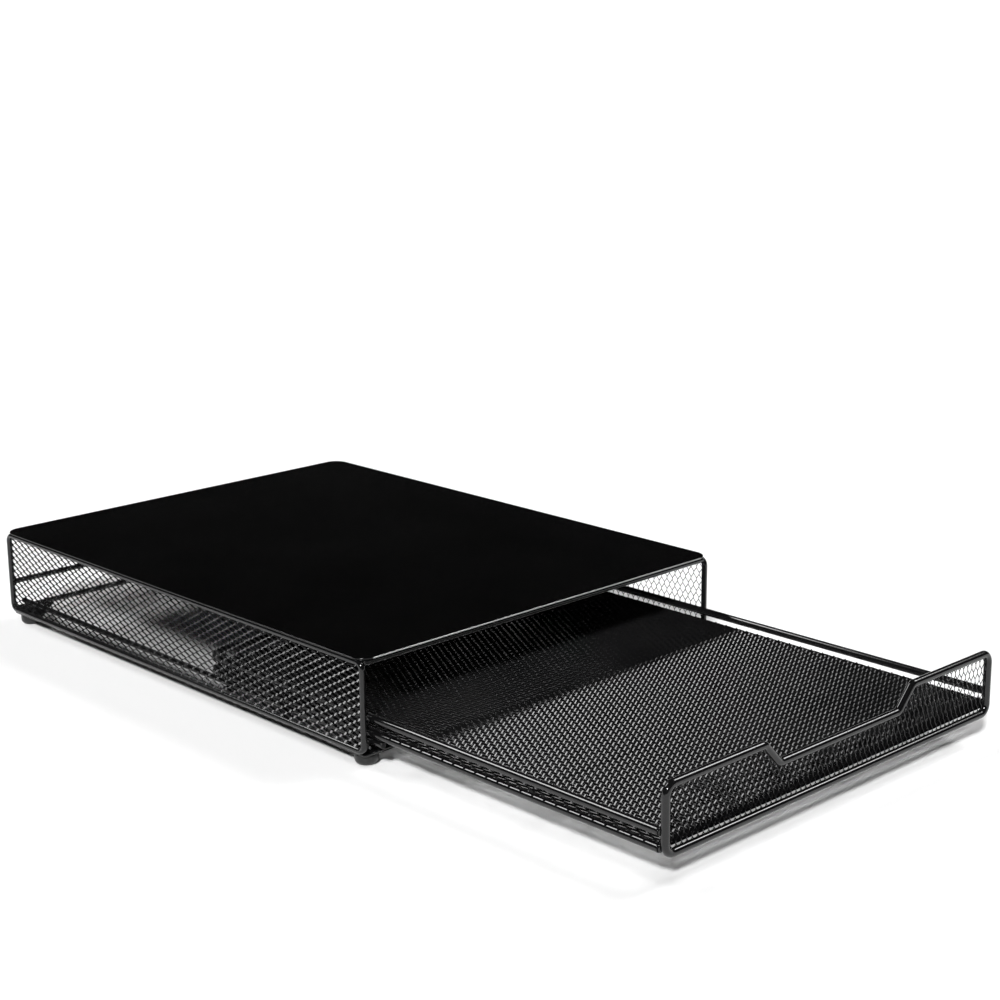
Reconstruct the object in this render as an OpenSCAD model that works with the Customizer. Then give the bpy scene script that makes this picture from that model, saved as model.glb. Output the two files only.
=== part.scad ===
// Coffee pod drawer: a wire and mesh cabinet with a sheet top, and a low wire drawer
// that runs in it. Millimetres, +Z up, the drawer opens towards -Y.
// The origin is at the bottom, midway between the drawer's front and the cabinet's back.

/* [Cabinet] */
// Width of the top sheet
unit_w = 304; // [220:1:400]
// Depth of the top sheet
unit_d = 396; // [320:1:480]
// Height of the whole unit
unit_h = 68; // [64:0.5:100]
// Thickness of the top sheet
sheet_t = 1; // [0.8:0.1:2]
// Corner radius of the top sheet
sheet_corner_r = 11; // [6:0.5:24]
// How far the sheet stands out past the frame wires
sheet_overhang = 0.6; // [0.2:0.1:3]
// Thickness of the cabinet's wires
frame_wire_d = 3.8; // [3:0.1:5]
// Radius of the side frames' bends, to the middle of the wire
frame_bend_r = 4.5; // [4:0.5:12]
// How far the corner cross wires sit inside the line of the posts
corner_seat = 0.8; // [0.4:0.1:1.2]
// Number of support wires under the sheet
support_wires = 2; // [1:1:4]
// Height of the back's upper bar
back_bar_z = 30.4; // [29:0.1:32]
// Gap left at each welded spot
weld_gap = 0.05; // [0.02:0.01:0.2]

/* [Feet] */
// Height of the rubber feet
foot_h = 7.4; // [6:0.1:10]
// Diameter of the rubber feet
foot_d = 14.5; // [12:0.5:18]
// Height of the taper at the bottom of a foot
foot_taper = 1.6; // [0.4:0.1:2.4]
// Distance from the sheet's edges to the middle of a foot
foot_inset = 11; // [10:0.5:13]
// Thickness of the corner gussets
gusset_t = 1.2; // [0.8:0.1:2]
// Length of a gusset along each wire
gusset_leg = 33; // [30:1:50]
// Diameter of the rivets' shanks
rivet_d = 3.2; // [2.4:0.2:4]
// Diameter of the rivets' heads
rivet_head_d = 6; // [5:0.2:7]
// Thickness of the rivets' heads
rivet_head_t = 1.1; // [0.8:0.1:1.4]
// Height of the rivets' recess in a foot
recess_h = 3.2; // [2.4:0.1:4]
// Free space round a rivet's shank and head, on the diameter
rivet_clearance = 0.3; // [0.2:0.1:0.6]

/* [Runners] */
// Height of the runners above the table, to the middle of the wire
runner_z = 16.9; // [16.5:0.1:18]
// Thickness of the runner wires
runner_d = 3.8; // [3:0.1:4]
// How far the runners lie outside the line of the tray's side wires
runner_offset = 0.6; // [0:0.1:0.8]
// How far the runners stand out in front of the cabinet
runner_reach = 9; // [0:0.5:14]
// Thickness of the runner brackets
bracket_t = 2; // [1:0.1:4]
// Distance from the cabinet's front to the front brackets
front_bracket_at = 6; // [6:0.5:20]
// Distance from the cabinet's front to the brackets that stop the drawer
stop_at = 80; // [50:1:100]
// Distance from the cabinet's back to the rear brackets
rear_bracket_at = 14; // [11:0.5:16]
// Distance from the cabinet's back to the runners' rear ends
runner_end_at = 8; // [5:0.5:10]

/* [Drawer] */
// How far the drawer is pulled out at rest
drawer_out = 226; // [120:1:236]
// Thickness of the drawer's wires
tray_wire_d = 4.8; // [4:0.1:5]
// Gap between the side frames and the drawer's side wires
side_clearance = 1.2; // [0.8:0.1:2]
// Gap between the runners and the wires that slide on them
slide_clearance = 0.3; // [0.2:0.1:0.5]
// Gap between the closed drawer and the back's upper bar
stop_clearance = 0.4; // [0.3:0.1:2]
// Clear height between the base wire and the guard wire
guard_gap = 4.4; // [3:0.1:6]
// Radius of the bends at the tray's rear corners, to the middle of the wire
tray_bend_r = 12; // [8:1:24]
// Thickness of the cross wires under the floor
cross_wire_d = 3.6; // [3:0.1:4.2]
// Number of cross wires behind the first one
cross_wires = 3; // [1:1:6]
// Number of short uprights at the rear
uprights = 4; // [2:1:8]
// Thickness of the uprights
upright_d = 3.2; // [2.4:0.1:4]
// Thickness of the hooks' sheet
hook_t = 1.5; // [1:0.1:1.8]
// Length of a hook along the runner
hook_l = 10; // [6:1:20]
// Distance from the rear base wire's middle to a hook's rear face
hook_at = 18; // [16:1:24]
// Gap between a hook and the runner
hook_clearance = 0.9; // [0.4:0.1:1]

/* [Drawer front] */
// How far the front frame is narrower than the tray's side wires, on each side
front_inset_x = 1.4; // [0:0.1:2]
// Drop from the base wire to the front frame's bottom wire, between middles
front_drop = 3.6; // [2:0.1:3.8]
// Height of the front frame, between the middles of its wires
front_h = 37.6; // [34:0.1:38.5]
// Radius of the front frame's corners, to the middle of the wire
front_bend_r = 6; // [5:0.5:7]
// Length of the dip's level stretch
dip_w = 106; // [80:1:140]
// Depth of the dip
dip_depth = 13.4; // [10:0.1:16]
// Length of the dip's sloping ends, along the front
dip_run = 12.7; // [10:0.1:30]
// Radius of the dip's bends, to the middle of the wire
dip_bend_r = 5; // [4:0.5:6]

/* [Mesh] */
// Thickness of the mesh sheets
mesh_t = 1; // [0.6:0.1:1.4]
// Width of the mesh strands
strand_w = 1.8; // [1.2:0.1:3]
// Gap between an upright mesh sheet and the wires round it
mesh_seat = 0.25; // [0.2:0.05:0.5]
// How far the floor mesh reaches past the middle of the side wires
floor_lap = 1.2; // [0.4:0.1:2]
// Length of a side mesh's gaps, along the depth
side_gap_l = 32; // [24:1:60]
// Height of a side mesh's gaps
side_gap_h = 17; // [12:1:26]
// Width of the front mesh's gaps
front_gap_w = 14; // [10:1:30]
// Height of the front mesh's gaps
front_gap_h = 33; // [16:1:40]
// Width of the floor mesh's gaps
floor_gap_w = 29; // [24:1:50]
// Length of the floor mesh's gaps, along the depth
floor_gap_l = 55; // [40:1:80]

/* [Hidden] */

BLACK = [0.05, 0.05, 0.055];
MESH_BLACK = [0.08, 0.08, 0.085];
RUBBER = [0.03, 0.03, 0.03];
STEEL = [0.55, 0.56, 0.58];
LEFT = -1;
RIGHT = 1;
FRONT = 0;
REAR = 1;
$fn = 32;
CORNER_FN = 64;
// How far a cutting tool reaches past the face it cuts
CUT = 1;
// How far a slanting stretch reaches into its bends, and how much thinner it is
BEND_LAP = 0.2;
BEND_STEP = 0.02;

frame_r = frame_wire_d / 2;
runner_r = runner_d / 2;
tray_r = tray_wire_d / 2;
cross_r = cross_wire_d / 2;

// Cabinet: middle lines of the frame wires
frame_x = unit_w / 2 - sheet_overhang - frame_r;
frame_in = sheet_overhang + frame_r;
top_wire_z = unit_h - sheet_t - frame_r - weld_gap;
gusset_top_z = foot_h + gusset_t;
bottom_wire_z = gusset_top_z + frame_r + weld_gap;

// Along Y the part is centred on the drawer's front and the sheet's rear edge
cab_front = -(unit_d + frame_in - drawer_out - tray_r) / 2;
cab_rear = cab_front + unit_d;
front_wire_y = cab_front + frame_in;
rear_wire_y = cab_rear - frame_in;

// Brackets: their front faces
front_bracket_y = cab_front + front_bracket_at;
stop_bracket_y = cab_front + stop_at;
rear_bracket_y = cab_rear - rear_bracket_at - bracket_t;

// Tray: its side wires run just inside the side frames, its base wire just above the runners
tray_x = frame_x - frame_r - side_clearance - tray_r;
runner_x = tray_x + runner_offset;
base_z = runner_z + runner_r + slide_clearance + tray_r;
guard_z = base_z + tray_wire_d + guard_gap;
front_y = front_wire_y - drawer_out;
tray_front_y = front_y + tray_r + weld_gap;
tray_length = rear_wire_y - frame_r - stop_clearance - tray_r - front_wire_y;
tray_rear_y = front_y + tray_length;
floor_z = base_z + tray_r + weld_gap;
cross_z = floor_z - weld_gap - cross_r;

// Drawer front: middle line of the bent wire
front_x = tray_x - front_inset_x;
front_bottom_z = base_z - front_drop;
front_top_z = front_bottom_z + front_h;
dip_z = front_top_z - dip_depth;

// ---- Wires ----------------------------------------------------------------

module wire_x(x0, x1, y, z, d) {
    translate([x0, y, z]) rotate([0, 90, 0]) cylinder(d = d, h = x1 - x0);
}

module wire_y(x, y0, y1, z, d) {
    translate([x, y0, z]) rotate([-90, 0, 0]) cylinder(d = d, h = y1 - y0);
}

module wire_z(x, y, z0, z1, d) {
    translate([x, y, z0]) cylinder(d = d, h = z1 - z0);
}

function direction(a, b) = (b - a) / norm(b - a);
function heading(a, b) = atan2(b[1] - a[1], b[0] - a[0]);
function wrapped(a) = a > 180 ? a - 360 : (a < -180 ? a + 360 : a);
// The signed turn at b on the way from a to c
function turn(a, b, c) = wrapped(heading(b, c) - heading(a, b));
// How much of a straight stretch the bend at b takes up
function tangent_length(a, b, c, r) = r * tan(abs(turn(a, b, c)) / 2);

// A straight stretch in the XY plane
module stretch(a, b, d) {
    translate([a[0], a[1], 0]) rotate([0, 0, heading(a, b)]) rotate([0, 90, 0])
        cylinder(d = d, h = norm(b - a));
}

// A slanting stretch, let a little way into the bends at its ends
module slanting_stretch(a, b, d) {
    lap = direction(a, b) * BEND_LAP;
    stretch(a - lap, b + lap, d - BEND_STEP);
}

// The bend at b between the stretches a-b and b-c
module bend(a, b, c, r, d) {
    t = turn(a, b, c);
    start = b - direction(a, b) * tangent_length(a, b, c, r);
    side = sign(t);
    normal = [-direction(a, b)[1], direction(a, b)[0]] * side;
    centre = start + normal * r;
    first = atan2(-normal[1], -normal[0]);
    translate([centre[0], centre[1], 0]) rotate([0, 0, side > 0 ? first : first + t])
        rotate_extrude(angle = abs(t)) translate([r, 0]) circle(d = d);
}

// A wire bent in the XY plane along points, each an [x, y, bend radius]
module bent_wire(points, d, closed = false) {
    n = len(points);
    xy = [for (p = points) [p[0], p[1]]];
    bends = closed ? [0 : n - 1] : [1 : n - 2];
    spans = closed ? [0 : n - 1] : [0 : n - 2];
    function before(i) = (i + n - 1) % n;
    function after(i) = (i + 1) % n;
    function is_end(i) = !closed && (i == 0 || i == n - 1);
    function taken(i) = is_end(i) ? 0
        : tangent_length(xy[before(i)], xy[i], xy[after(i)], points[i][2]);
    for (i = spans) {
        a = xy[i] + direction(xy[i], xy[after(i)]) * taken(i);
        b = xy[after(i)] - direction(xy[i], xy[after(i)]) * taken(after(i));
        if (min(abs(a[0] - b[0]), abs(a[1] - b[1])) < BEND_LAP) stretch(a, b, d);
        else slanting_stretch(a, b, d);
    }
    for (i = bends) {
        bend(xy[before(i)], xy[i], xy[after(i)], points[i][2], d);
    }
}

// ---- Mesh -----------------------------------------------------------------

// One diamond gap of the mesh, shrunk by half a strand on every side
module diamond(gap_w, gap_h) {
    shrink = 1 - strand_w * norm([gap_w, gap_h]) / (gap_w * gap_h);
    a = gap_w / 2 * shrink;
    b = gap_h / 2 * shrink;
    polygon([[-a, 0], [0, -b], [a, 0], [0, b]]);
}

// The gaps of a mesh sheet between corner and corner + size, near the given gap size
module gaps(corner, size, nominal) {
    nx = max(1, round(size[0] / nominal[0]));
    ny = max(1, round(size[1] / nominal[1]));
    gap_w = size[0] / nx;
    gap_h = size[1] / ny;
    translate(corner) {
        for (i = [0 : nx], j = [0 : ny]) {
            translate([i * gap_w, j * gap_h]) diamond(gap_w, gap_h);
        }
        for (i = [0 : nx - 1], j = [0 : ny - 1]) {
            translate([(i + 0.5) * gap_w, (j + 0.5) * gap_h]) diamond(gap_w, gap_h);
        }
    }
}

// A flat mesh sheet. Its children are its outline, the same outline one strand
// further in, and its gaps.
module mesh_sheet() {
    linear_extrude(mesh_t) difference() {
        children(0);
        intersection() {
            children(1);
            children(2);
        }
    }
}

// A rectangle with its corners cut off at 45 degrees
module cut_rectangle(corner, size, cut) {
    x0 = corner[0];
    y0 = corner[1];
    x1 = x0 + size[0];
    y1 = y0 + size[1];
    polygon([
        [x0 + cut, y0], [x1 - cut, y0], [x1, y0 + cut], [x1, y1 - cut],
        [x1 - cut, y1], [x0 + cut, y1], [x0, y1 - cut], [x0, y0 + cut]
    ]);
}

// How much of a sheet's corner has to go where the wire round it is bent
function bend_cut(bend_r, wire_r) = (2 - sqrt(2)) * (bend_r - wire_r) + mesh_seat;

// ---- Cabinet --------------------------------------------------------------

module rounded_rectangle(w, d, r) {
    square([w - 2 * r, d], center = true);
    square([w, d - 2 * r], center = true);
    for (sx = [-1, 1], sy = [-1, 1]) {
        translate([sx * (w / 2 - r), sy * (d / 2 - r)]) circle(r = r, $fn = CORNER_FN);
    }
}

module top_plate() {
    color(BLACK) translate([0, (cab_front + cab_rear) / 2, unit_h - sheet_t])
        linear_extrude(sheet_t) rounded_rectangle(unit_w, unit_d, sheet_corner_r);
}

// A closed loop of wire in the YZ plane
module side_frame(side) {
    outline = [
        [front_wire_y, bottom_wire_z, frame_bend_r], [rear_wire_y, bottom_wire_z, frame_bend_r],
        [rear_wire_y, top_wire_z, frame_bend_r], [front_wire_y, top_wire_z, frame_bend_r]
    ];
    color(BLACK) translate([side * frame_x, 0, 0]) rotate([90, 0, 90])
        bent_wire(outline, frame_wire_d, closed = true);
}

// The outline of a side mesh, moved in by the given inset
module side_outline(inset) {
    edge = frame_r + mesh_seat + inset;
    cut_rectangle(
        [front_wire_y + edge, bottom_wire_z + edge],
        [rear_wire_y - front_wire_y - 2 * edge, top_wire_z - bottom_wire_z - 2 * edge],
        bend_cut(frame_bend_r, frame_r)
    );
}

module side_mesh(side) {
    color(MESH_BLACK) translate([side * frame_x - mesh_t / 2, 0, 0]) rotate([90, 0, 90])
        mesh_sheet() {
            side_outline(0);
            side_outline(strand_w);
            gaps(
                [front_wire_y, bottom_wire_z],
                [rear_wire_y - front_wire_y, top_wire_z - bottom_wire_z],
                [side_gap_l, side_gap_h]
            );
        }
}

// A wire across the cabinet, from one side frame to the other
module cabinet_cross_wire(y, z) {
    reach = frame_x - frame_r - weld_gap;
    color(BLACK) wire_x(-reach, reach, y, z, frame_wire_d);
}

module top_front_wire() {
    cabinet_cross_wire(front_wire_y + corner_seat, top_wire_z);
}

module top_rear_wire() {
    cabinet_cross_wire(rear_wire_y - corner_seat, top_wire_z);
}

module top_support_wires() {
    pitch = unit_d / (support_wires + 1);
    for (i = [1 : support_wires]) {
        cabinet_cross_wire(cab_front + i * pitch, top_wire_z);
    }
}

module back_upper_bar() {
    cabinet_cross_wire(rear_wire_y, back_bar_z);
}

module back_lower_bar() {
    cabinet_cross_wire(rear_wire_y - corner_seat, bottom_wire_z);
}

// The middle of a foot, for a side and an end of the cabinet
function foot_at(side, end) = [
    side * (unit_w / 2 - foot_inset),
    end == FRONT ? cab_front + foot_inset : cab_rear - foot_inset
];

module gusset(side, end) {
    corner_y = end == FRONT ? front_wire_y : rear_wire_y;
    inwards = end == FRONT ? 1 : -1;
    at = foot_at(side, end);
    color(BLACK) difference() {
        translate([side * frame_x, corner_y, foot_h]) linear_extrude(gusset_t)
            polygon([[0, 0], [-side * gusset_leg, 0], [0, inwards * gusset_leg]]);
        translate([at[0], at[1], foot_h - CUT])
            cylinder(d = rivet_d + rivet_clearance, h = gusset_t + 2 * CUT);
    }
}

// A rubber pad, tapered at the bottom, with a recess for the rivet's lower head
module foot(side, end) {
    at = foot_at(side, end);
    color(RUBBER) translate([at[0], at[1], 0]) difference() {
        union() {
            cylinder(d1 = foot_d - 2 * foot_taper, d2 = foot_d, h = foot_taper);
            translate([0, 0, foot_taper]) cylinder(d = foot_d, h = foot_h - foot_taper - weld_gap);
        }
        translate([0, 0, -CUT]) cylinder(d = rivet_head_d + rivet_clearance, h = recess_h + CUT);
        cylinder(d = rivet_d + rivet_clearance, h = foot_h + CUT);
    }
}

// A rivet through a foot and its gusset
module foot_rivet(side, end) {
    at = foot_at(side, end);
    low = recess_h - weld_gap - rivet_head_t;
    color(STEEL) translate([at[0], at[1], 0]) {
        translate([0, 0, low]) cylinder(d = rivet_head_d, h = rivet_head_t);
        translate([0, 0, low]) cylinder(d = rivet_d, h = gusset_top_z + rivet_head_t - low);
        translate([0, 0, gusset_top_z + weld_gap]) cylinder(d = rivet_head_d, h = rivet_head_t);
    }
}

module foot_rivets() {
    for (side = [LEFT, RIGHT], end = [FRONT, REAR]) {
        foot_rivet(side, end);
    }
}

// ---- Runners --------------------------------------------------------------

module runner(side) {
    color(BLACK)
        wire_y(side * runner_x, cab_front - runner_reach, cab_rear - runner_end_at, runner_z, runner_d);
}

// A plate that cradles the runner and stands against the side frame's bottom wire
module runner_bracket(side, y) {
    outer_x = frame_x - frame_r - weld_gap;
    inner_x = runner_x - runner_r;
    low = gusset_top_z + weld_gap;
    color(BLACK) translate([0, y + bracket_t, 0]) rotate([90, 0, 0]) linear_extrude(bracket_t)
        difference() {
            polygon([
                [side * inner_x, low], [side * outer_x, low],
                [side * outer_x, runner_z], [side * inner_x, runner_z]
            ]);
            translate([side * runner_x, runner_z]) circle(r = runner_r + weld_gap);
        }
}

// ---- Drawer ---------------------------------------------------------------

// Half of the front's bent wire in the XY plane, with a dip for the fingers
module half_front_wire() {
    bent_wire([
        [0, front_bottom_z, 0], [front_x, front_bottom_z, front_bend_r],
        [front_x, front_top_z, front_bend_r], [dip_w / 2 + dip_run, front_top_z, dip_bend_r],
        [dip_w / 2, dip_z, dip_bend_r], [0, dip_z, 0]
    ], tray_wire_d);
}

module drawer_front_frame() {
    color(BLACK) translate([0, front_y, 0]) rotate([90, 0, 0]) {
        half_front_wire();
        mirror([1, 0, 0]) half_front_wire();
    }
}

// The outline of the front mesh, moved in by the given inset
module front_outline(inset) {
    edge = tray_r + mesh_seat + inset;
    mitre = edge * tan(atan2(dip_depth, dip_run) / 2);
    cut = bend_cut(front_bend_r, tray_r);
    x = front_x - edge;
    low = front_bottom_z + edge;
    high = front_top_z - edge;
    dip_half = dip_w / 2 + mitre;
    shoulder = dip_half + dip_run;
    polygon([
        [-x + cut, low], [x - cut, low], [x, low + cut], [x, high - cut], [x - cut, high],
        [shoulder, high], [dip_half, dip_z - edge], [-dip_half, dip_z - edge], [-shoulder, high],
        [-x + cut, high], [-x, high - cut], [-x, low + cut]
    ]);
}

module drawer_front_mesh() {
    color(MESH_BLACK) translate([0, front_y + mesh_t / 2, 0]) rotate([90, 0, 0]) mesh_sheet() {
        front_outline(0);
        front_outline(strand_w);
        gaps(
            [-front_x, front_bottom_z], [2 * front_x, front_h],
            [front_gap_w, front_gap_h]
        );
    }
}

// A wire bent to a U, round the tray's sides and rear
module tray_wire(z) {
    outline = [
        [-tray_x, tray_front_y, 0], [-tray_x, tray_rear_y, tray_bend_r],
        [tray_x, tray_rear_y, tray_bend_r], [tray_x, tray_front_y, 0]
    ];
    color(BLACK) translate([0, 0, z]) bent_wire(outline, tray_wire_d);
}

module tray_base_wire() {
    tray_wire(base_z);
}

module tray_guard_wire() {
    tray_wire(guard_z);
}

// The outline of the floor mesh, moved in by the given inset. It ends short of the
// rear uprights.
module floor_outline(inset) {
    x = tray_x + floor_lap - inset;
    front = tray_front_y + mesh_seat + inset;
    rear = tray_rear_y - upright_d / 2 - mesh_seat - inset;
    r = tray_bend_r - inset;
    translate([-x, front]) square([2 * x, rear - r - front]);
    translate([-x + r, front]) square([2 * (x - r), rear - front]);
    for (side = [LEFT, RIGHT]) {
        translate([side * (x - r), rear - r]) circle(r = r);
    }
}

module tray_floor_mesh() {
    x = tray_x + floor_lap;
    color(MESH_BLACK) translate([0, 0, floor_z]) mesh_sheet() {
        floor_outline(0);
        floor_outline(strand_w);
        gaps([-x, front_y], [2 * x, tray_length], [floor_gap_w, floor_gap_l]);
    }
}

module tray_cross_wire(y) {
    reach = tray_x - tray_r - weld_gap;
    color(BLACK) wire_x(-reach, reach, y, cross_z, cross_wire_d);
}

module tray_front_cross_wire() {
    tray_cross_wire(tray_front_y + cross_r);
}

module tray_cross_wires() {
    pitch = tray_length / (cross_wires + 1);
    for (i = [1 : cross_wires]) {
        tray_cross_wire(front_y + i * pitch);
    }
}

module tray_rear_uprights() {
    span = 2 * (tray_x - tray_bend_r);
    low = base_z + tray_r + weld_gap;
    high = guard_z - tray_r - weld_gap;
    for (i = [0 : uprights - 1]) {
        color(BLACK) wire_z(-span / 2 + i * span / (uprights - 1), tray_rear_y, low, high, upright_d);
    }
}

// A bent strip on the base wire's inner side that reaches under the runner
module tray_hook(side) {
    outer_x = tray_x - tray_r - weld_gap;
    low = runner_z - runner_r - hook_clearance - hook_t;
    color(BLACK) translate([0, tray_rear_y - hook_at, 0]) rotate([90, 0, 0]) linear_extrude(hook_l)
        polygon([
            [side * (outer_x - hook_t), low], [side * (runner_x + runner_r), low],
            [side * (runner_x + runner_r), low + hook_t], [side * outer_x, low + hook_t],
            [side * outer_x, base_z], [side * (outer_x - hook_t), base_z]
        ]);
}

// ---- What is drawn --------------------------------------------------------

top_plate();
side_frame(LEFT);  // left_side_frame
side_frame(RIGHT);  // right_side_frame
side_mesh(LEFT);  // left_side_mesh
side_mesh(RIGHT);  // right_side_mesh
top_front_wire();
top_rear_wire();
top_support_wires();
back_upper_bar();
back_lower_bar();
gusset(LEFT, FRONT);  // gusset_front_left
gusset(RIGHT, FRONT);  // gusset_front_right
gusset(LEFT, REAR);  // gusset_rear_left
gusset(RIGHT, REAR);  // gusset_rear_right
foot(LEFT, FRONT);  // foot_front_left
foot(RIGHT, FRONT);  // foot_front_right
foot(LEFT, REAR);  // foot_rear_left
foot(RIGHT, REAR);  // foot_rear_right
foot_rivets();
runner(LEFT);  // runner_left
runner(RIGHT);  // runner_right
runner_bracket(LEFT, front_bracket_y);  // runner_front_bracket_left
runner_bracket(RIGHT, front_bracket_y);  // runner_front_bracket_right
runner_bracket(LEFT, stop_bracket_y);  // runner_stop_bracket_left
runner_bracket(RIGHT, stop_bracket_y);  // runner_stop_bracket_right
runner_bracket(LEFT, rear_bracket_y);  // runner_rear_bracket_left
runner_bracket(RIGHT, rear_bracket_y);  // runner_rear_bracket_right
drawer_front_frame();
drawer_front_mesh();
tray_base_wire();
tray_guard_wire();
tray_floor_mesh();
tray_front_cross_wire();
tray_cross_wires();
tray_rear_uprights();
tray_hook(LEFT);  // tray_hook_left
tray_hook(RIGHT);  // tray_hook_right
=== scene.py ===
"""Looks of a coffee pod drawer: a wire and mesh cabinet with a sheet top, and its wire tray.

Every piece is built in metres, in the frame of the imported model, and rides on one of its two
bodies, the cabinet or the drawer. Wires are round sections carried along bent paths, and the
panels are expanded metal with one small mesh of vertices round each opening.
"""

from __future__ import annotations

import logging
import math
from collections.abc import Callable, Mapping, Sequence
from dataclasses import dataclass, field, replace
from enum import Enum

import bpy
import numpy as np
from mathutils import Matrix, Vector

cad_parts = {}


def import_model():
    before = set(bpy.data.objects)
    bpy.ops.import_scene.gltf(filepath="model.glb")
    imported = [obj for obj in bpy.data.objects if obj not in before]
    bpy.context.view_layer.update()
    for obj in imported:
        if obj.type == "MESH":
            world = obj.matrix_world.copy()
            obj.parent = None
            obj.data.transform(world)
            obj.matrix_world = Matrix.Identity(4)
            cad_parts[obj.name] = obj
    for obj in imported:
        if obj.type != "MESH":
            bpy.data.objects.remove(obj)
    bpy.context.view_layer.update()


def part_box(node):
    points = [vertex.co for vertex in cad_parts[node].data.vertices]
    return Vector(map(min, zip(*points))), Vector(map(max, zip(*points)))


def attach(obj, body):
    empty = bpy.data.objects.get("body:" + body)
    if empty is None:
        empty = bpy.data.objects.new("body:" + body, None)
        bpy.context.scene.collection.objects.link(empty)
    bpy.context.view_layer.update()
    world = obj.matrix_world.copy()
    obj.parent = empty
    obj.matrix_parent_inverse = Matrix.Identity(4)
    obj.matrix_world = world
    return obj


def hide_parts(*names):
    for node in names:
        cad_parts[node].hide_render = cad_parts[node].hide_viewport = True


LOG = logging.getLogger("pod_drawer")
MM = 0.001
X_AXIS = np.array([1.0, 0.0, 0.0])
Y_AXIS = np.array([0.0, 1.0, 0.0])
Z_AXIS = np.array([0.0, 0.0, 1.0])
# Rims and blunt ends are rounded in two steps, the first at this share of their radius
RIM_SHARE = 0.3
# A long stretch gets points this far from its ends, as a share of the section's reach, and
# counts as long from this many such steps on
HOLD_SHARE = 0.3
LONG_STRETCH = 6.0
# Least divisors of a mitre, so that a sharp turn doesn't stretch it far: the cosine of half
# the turn for a swept section, and 1 plus the cosine of the turn for a plate's outline
SWEEP_MITRE = 0.5
PLATE_MITRE = 0.4
# How far the ends of straight and of bent wires are rounded off
WIRE_BLUNT = 0.3 * MM
BENT_BLUNT = 0.2 * MM
# Width of a bond at its strands, as a share of its middle
BOND_WAIST = 0.9
# Pieces of mesh that the outline leaves with less than this share of their area are dropped
SLIVER = 0.04
# Lengths below this count as none
TINY = 1e-9
# Number of sides of the drawer's bent wires, which lie nearest to the camera
FINE_SIDES = 36
Tree = bpy.types.NodeTree
Socket = bpy.types.NodeSocket


class Body(Enum):
    """The two rigid bodies that pieces ride on."""

    CABINET = "cabinet"
    DRAWER = "drawer"


class Slot(Enum):
    """The record's material slots."""

    SHEET = "sheet"
    WIRE = "wire"
    MESH = "mesh"
    DRAWER_WIRE = "drawer_wire"
    RUBBER = "rubber"
    RIVET = "rivet"


class Named(Enum):
    """A choice whose name in small letters is part of its nodes' names."""

    @property
    def word(self) -> str:
        """The name in small letters."""
        return self.name.lower()


class Side(Named):
    """Left or right half of the unit, as the sign of X."""

    LEFT = -1
    RIGHT = 1


class End(Named):
    """Front or rear end of the cabinet, as the sign of Y."""

    FRONT = -1
    REAR = 1


# ---- Shells of vertices and faces ------------------------------------------------------------


@dataclass
class Shell:
    """A closed surface: its points, and its faces grouped by their number of corners."""

    points: np.ndarray
    faces: list[np.ndarray]
    flat: list[bool] = field(default_factory=list)

    def __post_init__(self) -> None:
        """Marks every group of faces as smooth where nothing else is said."""
        if not self.flat:
            self.flat = [False] * len(self.faces)

    def volume(self) -> float:
        """The signed volume: the sum of the tetrahedra from the origin to each face's fan."""
        total = 0.0
        for group in self.faces:
            first = self.points[group[:, 0]]
            for k in range(1, group.shape[1] - 1):
                second, third = self.points[group[:, k]], self.points[group[:, k + 1]]
                total += float(np.einsum("ij,ij->", first, np.cross(second, third)))
        return total / 6.0

    def outward(self) -> Shell:
        """Turns all the faces round where they point inwards."""
        if self.volume() < 0.0:
            self.faces = [group[:, ::-1] for group in self.faces]
        return self


def joined(shells: Sequence[Shell]) -> Shell:
    """Puts several shells into one, each with its own points.

    Args:
        shells: The shells to put together.

    Returns:
        One shell that holds them all.
    """
    points, faces, flat, start = [], [], [], 0
    for shell in shells:
        points.append(shell.points)
        faces.extend(group + start for group in shell.faces)
        flat.extend(shell.flat)
        start += len(shell.points)
    return Shell(np.concatenate(points), faces, flat)


def make_piece(name: str, shell: Shell) -> bpy.types.Object:
    """Makes a Blender object of a shell, with its place in its mesh.

    Args:
        name: The name of the object and its mesh.
        shell: The points and faces.

    Returns:
        The object, linked to the scene.
    """
    loops = np.concatenate([group.ravel() for group in shell.faces]).astype(np.int32)
    totals = np.concatenate([np.full(len(g), g.shape[1], np.int32) for g in shell.faces])
    starts = np.concatenate([[0], np.cumsum(totals)[:-1]]).astype(np.int32)
    smooth = np.concatenate(
        [np.full(len(g), not flat) for g, flat in zip(shell.faces, shell.flat, strict=True)]
    )
    mesh = bpy.data.meshes.new(name)
    mesh.vertices.add(len(shell.points))
    mesh.vertices.foreach_set("co", shell.points.astype(np.float32).ravel())
    mesh.loops.add(len(loops))
    mesh.loops.foreach_set("vertex_index", loops)
    mesh.polygons.add(len(totals))
    mesh.polygons.foreach_set("loop_start", starts)
    mesh.polygons.foreach_set("use_smooth", smooth)
    mesh.update(calc_edges=True)
    mesh.validate()
    piece = bpy.data.objects.new(name, mesh)
    bpy.context.scene.collection.objects.link(piece)
    return piece


# ---- Outlines, paths and sweeps --------------------------------------------------------------


def unit(vectors: np.ndarray) -> np.ndarray:
    """The vectors divided by their lengths."""
    return vectors / np.linalg.norm(vectors, axis=-1, keepdims=True)


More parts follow.
